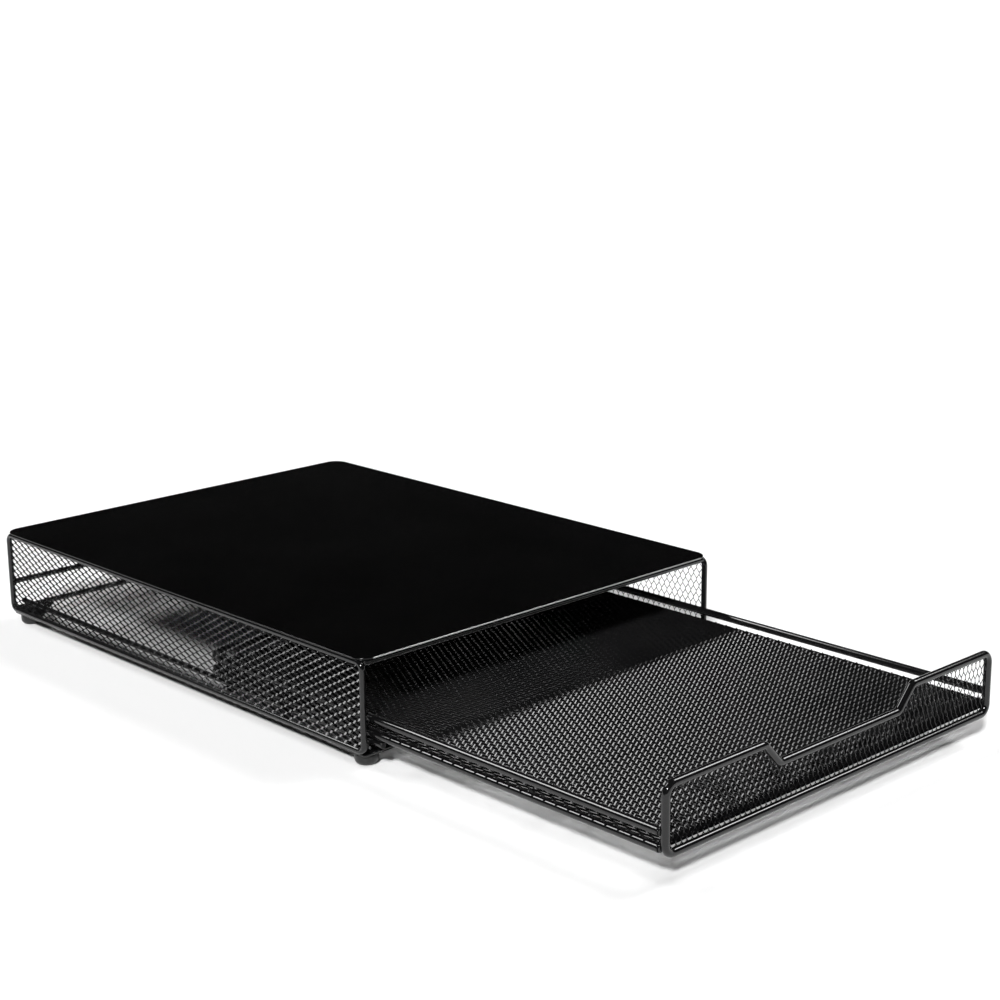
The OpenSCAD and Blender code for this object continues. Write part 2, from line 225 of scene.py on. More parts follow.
def rounded_path(
    corners: Sequence[Sequence[float]], radii: Sequence[float], closed: bool, steps: int = 12
) -> np.ndarray:
    """A path of straight stretches with an arc at each corner that has a radius.

    The arc starts at the corner minus the incoming direction d times r * tan(turn / 2), and its
    points are start + r * (sin(s) * d + (1 - cos(s)) * n), with n square to d on the inside of
    the turn and s from 0 to the turn.

    Args:
        corners: The corners, in 2 or 3 dimensions.
        radii: The radius at each corner; 0 keeps the corner itself.
        closed: Whether the last corner joins the first.
        steps: The number of steps in each arc.

    Returns:
        The points of the path, one row each.
    """
    at = np.asarray(corners, float)
    count = len(at)
    parts = []
    for i, radius in enumerate(radii):
        if radius <= 0.0 or (not closed and i in (0, count - 1)):
            parts.append(at[i : i + 1])
            continue
        coming = unit(at[i] - at[i - 1])
        going = unit(at[(i + 1) % count] - at[i])
        turn = math.acos(float(np.clip(coming @ going, -1.0, 1.0)))
        inside = unit(going - (going @ coming) * coming)
        start = at[i] - coming * radius * math.tan(turn / 2.0)
        s = np.linspace(0.0, turn, steps + 1)[:, None]
        parts.append(start + radius * (np.sin(s) * coming + (1.0 - np.cos(s)) * inside))
    return np.concatenate(parts)


def circle_section(radius: float, sides: int = 28) -> np.ndarray:
    """Points evenly round a circle of the given radius."""
    angle = np.linspace(0.0, 2.0 * math.pi, sides, endpoint=False)
    return radius * np.stack([np.cos(angle), np.sin(angle)], axis=1)


def strip_section(width: float, height: float, edge: float) -> np.ndarray:
    """A rectangle with rounded corners, centred on the origin.

    Args:
        width: Size along the first axis.
        height: Size along the second axis.
        edge: Radius of the corners.

    Returns:
        The outline's points.
    """
    x, y = width / 2.0, height / 2.0
    return rounded_path([(-x, -y), (x, -y), (x, y), (-x, y)], [edge] * 4, True, steps=4)


def held(
    path: np.ndarray, scale: np.ndarray, closed: bool, hold: float
) -> tuple[np.ndarray, np.ndarray]:
    """Adds a point near both ends of each long stretch, so that its sheen stays straight.

    Args:
        path: The path's points.
        scale: The section's scale at each point.
        closed: Whether the last point joins the first.
        hold: How far the new points lie from a stretch's ends.

    Returns:
        The longer path and its scales.
    """
    step = np.roll(path, -1, axis=0) - path
    length = np.linalg.norm(step, axis=1)
    long = length > LONG_STRETCH * hold
    long[-1] &= closed
    away = unit(step) * hold
    points = np.stack([path, path + away, path + step - away], 1)
    keep = np.stack([np.ones_like(long), long, long], 1)
    scales = np.stack([scale, np.ones_like(scale), np.ones_like(scale)], 1)
    return points[keep], scales[keep]


def ring_walls(near: np.ndarray, far: np.ndarray) -> np.ndarray:
    """The quads that join each ring of points in near to the same ring in far."""
    return np.stack([near, np.roll(near, -1, 1), np.roll(far, -1, 1), far], -1).reshape(-1, 4)


def tube(rings: np.ndarray, closed: bool) -> Shell:
    """The shell through rows of points, each a ring, with flat ends unless it is closed."""
    index = np.arange(rings.shape[0] * rings.shape[1]).reshape(rings.shape[:2])
    if closed:
        faces, flat = [ring_walls(index, np.roll(index, -1, 0))], [False]
    else:
        faces = [ring_walls(index[:-1], index[1:]), index[:1, ::-1], index[-1:]]
        flat = [False, True, True]
    return Shell(rings.reshape(-1, 3), faces, flat).outward()


def loop_ways(path: np.ndarray) -> tuple[np.ndarray, np.ndarray]:
    """The unit directions in which a closed path comes to each of its points and leaves it."""
    coming = unit(path - np.roll(path, 1, axis=0))
    return coming, np.roll(coming, -1, axis=0)


def sweep(
    path: np.ndarray, normal: np.ndarray, section: np.ndarray, closed: bool, blunt: float = 0.0
) -> Shell:
    """Carries a section along a path that lies in one plane.

    At each point of the path the section's first axis is the tangent crossed with the plane's
    normal, and its second axis is the normal. The sides of a bend are stretched by 1 / cos of
    half its turn, so that the section keeps its size.

    Args:
        path: The path's points in space.
        normal: The unit normal of the path's plane.
        section: The section's outline in its two axes.
        closed: Whether the path is a loop.
        blunt: How far the section's ends are rounded off on an open path.

    Returns:
        The closed shell.
    """
    scale = np.ones(len(path))
    reach = float(np.abs(section).max())
    if not closed and blunt > 0.0:
        first, last = unit(path[1] - path[0]), unit(path[-1] - path[-2])
        head = [path[0], path[0] + first * blunt * RIM_SHARE, path[0] + first * blunt]
        tail = [path[-1] - last * blunt, path[-1] - last * blunt * RIM_SHARE, path[-1]]
        path = np.concatenate([head, path[1:-1], tail])
        scale = np.ones(len(path))
        scale[[0, -1]] = 1.0 - blunt / reach
        scale[[1, -2]] = 1.0 - RIM_SHARE * blunt / reach
    path, scale = held(path, scale, closed, HOLD_SHARE * reach)
    if closed:
        coming, going = loop_ways(path)
    else:
        step = unit(np.diff(path, axis=0))
        coming = np.concatenate([step[:1], step])
        going = np.concatenate([step, step[-1:]])
    tangent = unit(coming + going)
    stretch = 1.0 / np.clip(np.einsum("ij,ij->i", tangent, going), SWEEP_MITRE, 1.0)
    side = np.cross(tangent, normal) * stretch[:, None]
    rings = (
        path[:, None, :]
        + (scale[:, None] * section[None, :, 0])[..., None] * side[:, None, :]
        + (scale[:, None] * section[None, :, 1])[..., None] * normal[None, None, :]
    )
    return tube(rings, closed)


def plate(outline: np.ndarray, low: float, high: float, edge: float) -> Shell:
    """A flat plate with rounded rims, lying in the XY plane.

    The outline is repeated at six heights, moved in along its own mitred normals: by the edge
    radius at the faces, by 0.3 of it a little further on, and not at all between the rims.

    Args:
        outline: The outline's points in X and Y.
        low: Height of the lower face.
        high: Height of the upper face.
        edge: Radius of the rims.

    Returns:
        The closed shell.
    """
    coming, going = loop_ways(outline)
    left = np.stack([-coming[:, 1], coming[:, 0]], 1) + np.stack([-going[:, 1], going[:, 0]], 1)
    mitre = np.clip(1.0 + np.einsum("ij,ij->i", coming, going), PLATE_MITRE, None)
    x, y = outline[:, 0], outline[:, 1]
    area = np.sum(x * np.roll(y, -1) - np.roll(x, -1) * y)
    inward = left / mitre[:, None] * np.sign(area)
    part = RIM_SHARE * edge
    insets = np.array([edge, part, 0.0, 0.0, part, edge])
    rim = np.array([0.0, part, edge])
    heights = np.concatenate([low + rim, high - rim[::-1]])
    flat_rings = outline[None] + insets[:, None, None] * inward[None]
    rings = np.concatenate(
        [flat_rings, np.broadcast_to(heights[:, None, None], (*flat_rings.shape[:2], 1))], axis=2
    )
    return tube(rings, False)


def revolve(profile: Sequence[Sequence[float]], centre: Sequence[float], sides: int = 48) -> Shell:
    """Turns a profile of radius and height about a vertical axis.

    A point of the surface is centre + (r * cos(a), r * sin(a), z), with (r, z) on the profile
    and a round the circle. The profile starts and ends on the axis, and its ends are one pole each.

    Args:
        profile: The profile's radius and height, from the lower pole to the upper one.
        centre: The axis's X and Y, and the height that the profile starts from.
        sides: The number of steps round the axis.

    Returns:
        The closed shell.
    """
    shape = np.asarray(profile, float)
    angle = np.linspace(0.0, 2.0 * math.pi, sides, endpoint=False)
    rings = shape[1:-1]
    ring_points = np.stack(
        [
            rings[:, :1] * np.cos(angle),
            rings[:, :1] * np.sin(angle),
            np.broadcast_to(rings[:, 1:], (len(rings), sides)),
        ],
        axis=2,
    ).reshape(-1, 3)
    poles = np.array([[0.0, 0.0, shape[0, 1]], [0.0, 0.0, shape[-1, 1]]])
    points = np.concatenate([ring_points, poles]) + np.asarray(centre, float)
    index = np.arange(len(rings) * sides).reshape(len(rings), sides)
    walls = ring_walls(index[:-1], index[1:])
    low, high = len(ring_points), len(ring_points) + 1
    first, last = index[0], index[-1]
    bottom = np.stack([np.roll(first, -1), first, np.full(sides, low)], 1)
    top = np.stack([last, np.roll(last, -1), np.full(sides, high)], 1)
    return Shell(points, [walls, bottom, top]).outward()


def beads(centres: np.ndarray, radii: np.ndarray, rows: int = 8, columns: int = 12) -> Shell:
    """Small ellipsoids, such as the beads of spot welds.

    A point of bead k is centre_k + radius_k * (sin(t) cos(a), sin(t) sin(a), cos(t)).

    Args:
        centres: The middles, one row each.
        radii: The half sizes along X, Y and Z, one row each.
        rows: The number of steps from pole to pole.
        columns: The number of steps round.

    Returns:
        One shell with all the beads.
    """
    t = np.linspace(0.0, math.pi, rows + 1)[1:-1, None]
    a = np.linspace(0.0, 2.0 * math.pi, columns, endpoint=False)[None]
    ball = np.stack(
        [np.sin(t) * np.cos(a), np.sin(t) * np.sin(a), np.cos(t) * np.ones_like(a)], 2
    ).reshape(-1, 3)
    ball = np.concatenate([ball, [[0.0, 0.0, 1.0], [0.0, 0.0, -1.0]]])
    points = (centres[:, None] + radii[:, None] * ball[None]).reshape(-1, 3)
    index = np.arange((rows - 1) * columns).reshape(rows - 1, columns)
    walls = ring_walls(index[1:], index[:-1])
    top, bottom = len(ball) - 2, len(ball) - 1
    caps = np.concatenate(
        [
            np.stack([index[0], np.roll(index[0], -1), np.full(columns, top)], 1),
            np.stack([np.roll(index[-1], -1), index[-1], np.full(columns, bottom)], 1),
        ]
    )
    starts = (np.arange(len(centres)) * len(ball))[:, None, None]
    return Shell(
        points, [(walls[None] + starts).reshape(-1, 4), (caps[None] + starts).reshape(-1, 3)]
    ).outward()


# ---- Expanded metal --------------------------------------------------------------------------


@dataclass(frozen=True)
class Panel:
    """Where a sheet of expanded metal lies: its origin and its three unit axes."""

    origin: np.ndarray
    along: np.ndarray
    across: np.ndarray
    out: np.ndarray


@dataclass(frozen=True)
class ExpandedMetal:
    """Expanded metal: rows of six-sided openings, slit and drawn apart from one sheet.

    The openings' middles lie at (p * long_pitch / 2, q * short_pitch / 2) for whole p and q with
    an even sum. Where the sum is odd lies a bond, where four strands meet. Each strand and bond
    leans, so that its one long edge stands out of the sheet and the other sinks in.
    """

    long_pitch: float
    short_pitch: float
    strand: float
    bond: float
    thickness: float
    lean: float

    def corners(self) -> np.ndarray:
        """The six corners of an opening and their height, anticlockwise from the right tip."""
        tip = self.long_pitch / 2.0 - self.bond / 2.0
        half = self.bond / 2.0 * BOND_WAIST
        rise = self.short_pitch / 2.0 - self.strand
        height = self.strand * math.tan(self.lean)
        return np.array(
            [
                [tip, 0.0, 0.0],
                [half, rise, -height],
                [-half, rise, -height],
                [-tip, 0.0, 0.0],
                [-half, -rise, height],
                [half, -rise, height],
            ]
        )

    def build(
        self,
        panel: Panel,
        size: tuple[float, float],
        keep: Callable[[np.ndarray], np.ndarray] | None = None,
        fit: Callable[[np.ndarray], np.ndarray] | None = None,
    ) -> Shell:
        """Builds the sheet.

        Each opening has one point for each of its six corners. Strands are the quads between two
        openings, and bonds the hexagons between four. Their upper face is half a thickness along
        the leaning normal, the lower face half a thickness against it, and every side of a strand
        or bond that no other one shares gets a wall.

        Args:
            panel: Where the sheet lies.
            size: Its length along and across.
            keep: Says for middles in the sheet's plane which strands and bonds stay.
            fit: Moves points in the sheet's plane to the outline.

        Returns:
            The closed shell.
        """
        half_long, half_short = self.long_pitch / 2.0, self.short_pitch / 2.0
        last_p = int(math.ceil(size[0] / half_long)) + 3
        last_q = int(math.ceil(size[1] / half_short)) + 3
        p, q = np.meshgrid(np.arange(-2, last_p), np.arange(-2, last_q), indexing="ij")
        shape = self.corners()
        flat_points = np.stack(
            [
                p[..., None] * half_long + shape[:, 0],
                q[..., None] * half_short + shape[:, 1],
                np.broadcast_to(shape[:, 2], (*p.shape, 6)),
            ],
            axis=-1,
        )
        ids = np.arange(p.size * 6).reshape(*p.shape, 6)
        points = flat_points.reshape(-1, 3)
        inner = (slice(1, -1), slice(1, -1))
        is_opening = ((p + q) % 2 == 0)[inner]
        here, right, left = ids[inner], ids[2:, 1:-1], ids[:-2, 1:-1]
        above, below = ids[1:-1, 2:], ids[1:-1, :-2]
        up_right, up_left = ids[2:, 2:], ids[:-2, 2:]
        rising = np.stack([here[..., 1], here[..., 0], up_right[..., 4], up_right[..., 3]], -1)
        falling = np.stack([here[..., 3], here[..., 2], up_left[..., 0], up_left[..., 5]], -1)
        low_bond = np.stack([below[..., 2], below[..., 1], right[..., 3], left[..., 0]], -1)
        high_bond = np.stack([left[..., 0], right[..., 3], above[..., 5], above[..., 4]], -1)
        quads = np.concatenate(
            [rising[is_opening], falling[is_opening], low_bond[~is_opening], high_bond[~is_opening]]
        )
        whole = _areas(points[:, :2], quads)
        if keep is not None:
            quads_middle = points[quads][:, :, :2].mean(1)
            bond_p, bond_q = p[inner][~is_opening], q[inner][~is_opening]
            bond_middle = np.stack([bond_p * half_long, bond_q * half_short], 1)
            strands = 2 * int(is_opening.sum())
            quads_middle[strands:] = np.concatenate([bond_middle, bond_middle])
            stay = keep(quads_middle)
            quads, whole = quads[stay], whole[stay]
        if fit is not None:
            points = np.concatenate([fit(points[:, :2]), points[:, 2:]], 1)
            quads = quads[_areas(points[:, :2], quads) > SLIVER * whole]
        return self._thicken(points, quads, panel)

    def _thicken(self, points: np.ndarray, quads: np.ndarray, panel: Panel) -> Shell:
        """Gives the leaning faces their thickness and walls, and places them in space."""
        used, quads = np.unique(quads, return_inverse=True)
        quads = quads.reshape(-1, 4)
        points = points[used]
        count = len(points)
        normal = np.array([0.0, -math.sin(self.lean), math.cos(self.lean)])
        step = normal * self.thickness / 2
        both = np.concatenate([points + step, points - step])
        edges = np.stack([quads, np.roll(quads, -1, 1)], -1).reshape(-1, 2)
        key = edges[:, 0].astype(np.int64) * count + edges[:, 1]
        reverse = edges[:, 1].astype(np.int64) * count + edges[:, 0]
        rim = edges[~np.isin(key, reverse)]
        walls = np.stack([rim[:, 1], rim[:, 0], rim[:, 0] + count, rim[:, 1] + count], 1)
        axes = np.stack([panel.along, panel.across, panel.out])
        placed = panel.origin + both @ axes
        return Shell(placed, [quads, quads[:, ::-1] + count, walls], [True] * 3).outward()


def _areas(points: np.ndarray, quads: np.ndarray) -> np.ndarray:
    """The areas of flat quads: half the cross product of their diagonals."""
    first = points[quads[:, 2]] - points[quads[:, 0]]
    second = points[quads[:, 3]] - points[quads[:, 1]]
    return np.abs(first[:, 0] * second[:, 1] - first[:, 1] * second[:, 0]) / 2.0


def inside_rounded(
    size: tuple[float, float], radius: float
) -> Callable[[np.ndarray], np.ndarray]:
    """A move of flat points into a rectangle with rounded corners, from the origin to size.

    A point is first moved straight into the rectangle. Where it then lies past the corner's arc,
    it is moved to the arc along the line to the arc's middle.

    Args:
        size: The rectangle's size.
        radius: The corners' radius.

    Returns:
        The function that moves the points.
    """

    def move(flat: np.ndarray) -> np.ndarray:
        """The points, moved into the rectangle."""
        high = np.asarray(size)
        moved = np.clip(flat, 0.0, high)
        heart = np.clip(moved, radius, high - radius)
        offset = moved - heart
        length = np.linalg.norm(offset, axis=1, keepdims=True)
        return heart + offset * np.minimum(1.0, radius / np.maximum(length, TINY))

    return move


# ---- Finishes --------------------------------------------------------------------------------


def fill(
    tree: Tree,
    node: bpy.types.Node,
    values: Mapping[str | int, Socket | float | tuple[float, ...]],
) -> None:
    """Links or sets inputs of a node.

    Args:
        tree: The node tree.
        node: The node.
        values: Its inputs by name or number, each a socket to link or a value to set.
    """
    for key, value in values.items():
        if isinstance(value, Socket):
            tree.links.new(value, node.inputs[key])
        else:
            node.inputs[key].default_value = value


def add_node(
    tree: Tree,
    kind: str,
    values: Mapping[str | int, Socket | float | tuple[float, ...]],
    **settings: str | Tree,
) -> bpy.types.Node:
    """Adds a shader node.

    Args:
        tree: The node tree.
        kind: The node's type, such as Math.
        values: Its inputs, as for fill.
        settings: Its other settings, such as its operation.

    Returns:
        The node.
    """
    node = tree.nodes.new(f"ShaderNode{kind}")
    for setting, value in settings.items():
        setattr(node, setting, value)
    fill(tree, node, values)
    return node


def number(tree: Tree, operation: str, *values: Socket | float) -> Socket:
    """The output of a new Math node with the given inputs."""
    return add_node(tree, "Math", dict(enumerate(values)), operation=operation).outputs["Value"]


def ramp(
    tree: Tree,
    value: Socket,
    source: tuple[float, float],
    target: tuple[float, float],
    kind: str = "LINEAR",
) -> Socket:
    """Adds a Map Range node.

    Args:
        tree: The node tree.
        value: The value to map.
        source: The two values that it is mapped from.
        target: What they are mapped to.
        kind: How it goes from one to the other.

    Returns:
        Its output.
    """
    values = {
        "Value": value, "From Min": source[0], "From Max": source[1],
        "To Min": target[0], "To Max": target[1],
    }
    return add_node(tree, "MapRange", values, interpolation_type=kind).outputs["Result"]


def coat_group() -> Tree:
    """The skin of a powder coat: fine orange peel, and slow patches of sheen and tone.

    Height is a fine noise. Patches is a slow noise, spread so that it runs from 0 to 1.

    Returns:
        The node group.
    """
    tree = bpy.data.node_groups.new("powder_coat_skin", "ShaderNodeTree")
    for label, way, kind in (
        ("Vector", "INPUT", "Vector"),
        ("Peel Scale", "INPUT", "Float"),
        ("Patch Scale", "INPUT", "Float"),
        ("Height", "OUTPUT", "Float"),
        ("Patches", "OUTPUT", "Float"),
    ):
        tree.interface.new_socket(label, in_out=way, socket_type=f"NodeSocket{kind}")
    start = tree.nodes.new("NodeGroupInput").outputs
    noises = (
        {"Scale": start["Peel Scale"], "Detail": 2.0, "Roughness": 0.45},
        {"Scale": start["Patch Scale"], "Detail": 4.0, "Roughness": 0.6},
    )
    peel, patch = (
        add_node(tree, "TexNoise", {"Vector": start["Vector"], **noise}).outputs["Fac"]
        for noise in noises
    )
    spread = ramp(tree, patch, (0.3, 0.7), (0.0, 1.0))
    fill(tree, tree.nodes.new("NodeGroupOutput"), {"Height": peel, "Patches": spread})
    return tree


@dataclass(frozen=True)
class Finish:
    """A paint, rubber or metal finish with a fine bumpy skin and uneven sheen."""

    name: str
    colour: tuple[float, float, float]
    worn: tuple[float, float, float]
    roughness: tuple[float, float]
    specular: float = 0.5
    index: float = 1.5
    metallic: float = 0.0
    peel_scale: float = 900.0
    patch_scale: float = 14.0
    peel_height: float = 0.00004

    def build(self, skin: Tree) -> bpy.types.Material:
        """Builds the material.

        Args:
            skin: The node group that gives the skin's height and patches.

        Returns:
            The material.
        """
        material = bpy.data.materials.new(self.name)
        material.use_nodes = True
        tree = material.node_tree
        skin_inputs = {
            "Vector": add_node(tree, "TexCoord", {}).outputs["Object"],
            "Peel Scale": self.peel_scale,
            "Patch Scale": self.patch_scale,
        }
        group = add_node(tree, "Group", skin_inputs, node_tree=skin).outputs
        tones = {"Factor": group["Patches"], "A": (*self.colour, 1.0), "B": (*self.worn, 1.0)}
        relief = {"Height": group["Height"], "Strength": 1.0, "Distance": self.peel_height}
        coat = {
            "Base Color": add_node(tree, "Mix", tones, data_type="RGBA").outputs["Result"],
            "Roughness": ramp(tree, group["Patches"], (0.0, 1.0), self.roughness),
            "Metallic": self.metallic,
            "IOR": self.index,
            "Specular IOR Level": self.specular,
            "Normal": add_node(tree, "Bump", relief).outputs["Normal"],
        }
        fill(tree, tree.nodes["Principled BSDF"], coat)
        return material


@dataclass(frozen=True)
class SheetFinish(Finish):
    """A black coat with a painted highlight on the sheet's front edge: a band of bright grey metal
    that stands in for the light reflected along that edge.

    The painted highlight ends over the fade's width behind edge_y, and falls along X from the first
    to the second number of painted_highlight over the sheet's width, so it is brightest on the
    left.
    """

    edge_y: float = -84.9 * MM
    fade: float = 0.1 * MM
    half_width: float = 152.0 * MM
    # Strength of the painted highlight at the left and at the right end of the front edge
    painted_highlight: tuple[float, float] = (0.95, 0.3)
    # Colour and roughness of the metal band that paints the front edge's highlight
    highlight_grey: tuple[float, float, float] = (0.8, 0.8, 0.8)
    highlight_roughness: float = 0.5

    def build(self, skin: Tree) -> bpy.types.Material:
        """Builds the coat and lays the painted highlight of the front edge over it.

        Args:
            skin: The node group that gives the skin's height and patches.

        Returns:
            The material.
        """
        material = super().build(skin)
        tree = material.node_tree
        shader = tree.nodes["Principled BSDF"]
        place = add_node(tree, "TexCoord", {}).outputs["Object"]
        split = add_node(tree, "SeparateXYZ", {"Vector": place}).outputs
        # Painted highlight: the front edge turns to metallic bright grey, fading from left to
        # right, in place of the light that edge reflects
        edge = ramp(tree, split["Y"], (self.edge_y, self.edge_y + self.fade), (1.0, 0.0))
        along = ramp(tree, split["X"], (-self.half_width, self.half_width), self.painted_highlight)
        painted_highlight = number(tree, "MULTIPLY", edge, along)
        tone, sheen = (
            shader.inputs[name].links[0].from_socket for name in ("Base Color", "Roughness")
        )
        highlight_tone = {"Factor": painted_highlight, "A": tone, "B": (*self.highlight_grey, 1.0)}
        rough = {"Factor": edge, "A": sheen, "B": self.highlight_roughness}
        coat = {
            "Base Color": add_node(tree, "Mix", highlight_tone, data_type="RGBA").outputs["Result"],
            "Metallic": painted_highlight,
            "Roughness": add_node(tree, "Mix", rough).outputs["Result"],
        }
        fill(tree, shader, coat)
        return material


BLACK = (0.003, 0.003, 0.0032)
WORN_BLACK = (0.005, 0.005, 0.0052)
FINISHES = {
    # The sheet's coat carries a painted highlight along its front edge
    Slot.SHEET: SheetFinish(
        "black_sheet_coat", (0.001, 0.001, 0.001), (0.0014, 0.0014, 0.0014), (0.15, 0.19), 0.4
    ),
    Slot.WIRE: Finish("black_wire_coat", BLACK, WORN_BLACK, (0.08, 0.12)),
    Slot.DRAWER_WIRE: Finish("black_drawer_wire_coat", BLACK, WORN_BLACK, (0.06, 0.1)),
    Slot.MESH: Finish("black_mesh_coat", BLACK, WORN_BLACK, (0.12, 0.2)),
    Slot.RUBBER: Finish(
        "black_rubber",
        (0.006, 0.006, 0.006),
        (0.01, 0.01, 0.01),
        (0.3, 0.4),
        peel_scale=1400.0,
        peel_height=0.00008,
    ),
    Slot.RIVET: Finish(
        "rivet_steel", (0.5, 0.5, 0.52), (0.42, 0.42, 0.44), (0.3, 0.42), metallic=1.0
    ),
}


@dataclass
class Workshop:
    """Makes pieces ride, take their finish and stand for their CAD nodes, and counts them."""

    materials: dict[Slot, bpy.types.Material]
    count: int = 0

    @staticmethod
    def open() -> Workshop:
        """Builds every finish once."""
        skin = coat_group()
        return Workshop({slot: finish.build(skin) for slot, finish in FINISHES.items()})

    def add(
        self, name: str, shell: Shell, body: Body, slot: Slot, nodes: Sequence[str] = ()
    ) -> None:
        """Adds one piece to the scene.

        Args:
            name: The piece's name.
            shell: Its shape.
            body: The body it rides on.
            slot: Its material slot.
            nodes: The CAD nodes that it stands for.
        """
        piece = make_piece(name, shell)
        piece.data.materials.append(self.materials[slot])
        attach(piece, body.value)
        if nodes:
            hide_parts(*nodes)
        self.count += 1
        LOG.info("%s: %d faces", name, sum(len(group) for group in shell.faces))


def extent(node: str) -> tuple[np.ndarray, np.ndarray]:
    """The lowest and highest corner of a CAD node, as arrays."""
    low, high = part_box(node)
    return np.array(low), np.array(high)


def straight_wires(node: str, axis: int, count: int = 1) -> list[np.ndarray]:
    """The middle lines of a node's straight wires, evenly spread along Y over its box.

    Args:
        node: The CAD node.
        axis: The axis that the wires run along.
        count: The number of wires.

    Returns:
        One pair of end points for each wire.
    """
    low, high = extent(node)
    radius = wire_radius(node)
    lines = []
    for k in range(count):
        line = np.stack([(low + high) / 2.0] * 2)
        if count > 1:
            share = k / (count - 1)
            line[:, 1] = (low[1] + radius) * (1 - share) + (high[1] - radius) * share
        line[:, axis] = low[axis], high[axis]
        lines.append(line)
    return lines


def wire_radius(node: str) -> float:
    """Half the smallest side of a node's box."""
    low, high = extent(node)
    return float((high - low).min()) / 2.0


def wire_shell(line: np.ndarray, radius: float) -> Shell:
    """A straight round wire with slightly rounded ends."""
    direction = unit(line[1] - line[0])
    normal = Z_AXIS if abs(direction[2]) < 0.5 else Y_AXIS
    return sweep(line, normal, circle_section(radius), False, WIRE_BLUNT)


@dataclass
class Assembly:
    """What the cabinet and the drawer share: how they add pieces, and their weld beads."""

    shop: Workshop
    body: Body
    wire: Slot
    weld_points: list[np.ndarray] = field(default_factory=list)
    weld_sizes: list[np.ndarray] = field(default_factory=list)
    weld_length: float = 0.8 * MM

    def add(self, name: str, shell: Shell, *nodes: str, slot: Slot | None = None) -> None:
        """Adds a piece that rides on the body, in the wires' slot where none is given."""
        self.shop.add(name, shell, self.body, slot or self.wire, nodes)

    def weld(self, point: Sequence[float], size: Sequence[float]) -> None:
        """Notes a weld bead."""
        self.weld_points.append(np.asarray(point, float))
        self.weld_sizes.append(np.asarray(size, float))

    def welds(self) -> None:
        """Adds all the weld beads."""
        shell = beads(np.array(self.weld_points), np.array(self.weld_sizes))
        self.add(f"{self.body.value}_weld_beads", shell)

    def rods(self, node: str, count: int, name: str, swell: tuple[float, float]) -> None:
        """Adds a node's wires along X, each with a weld at both ends.

        Args:
            node: The CAD node.
            count: The number of wires.
            name: The piece's name.
            swell: The welds' half depth and height, as shares of the wire's radius.
        """
        radius = wire_radius(node)
        lines = straight_wires(node, 0, count)
        self.add(name, joined([wire_shell(line, radius) for line in lines]), node)
        for point in np.concatenate(lines):
            self.weld(point, (self.weld_length, radius * swell[0], radius * swell[1]))


# ---- Cabinet ---------------------------------------------------------------------------------


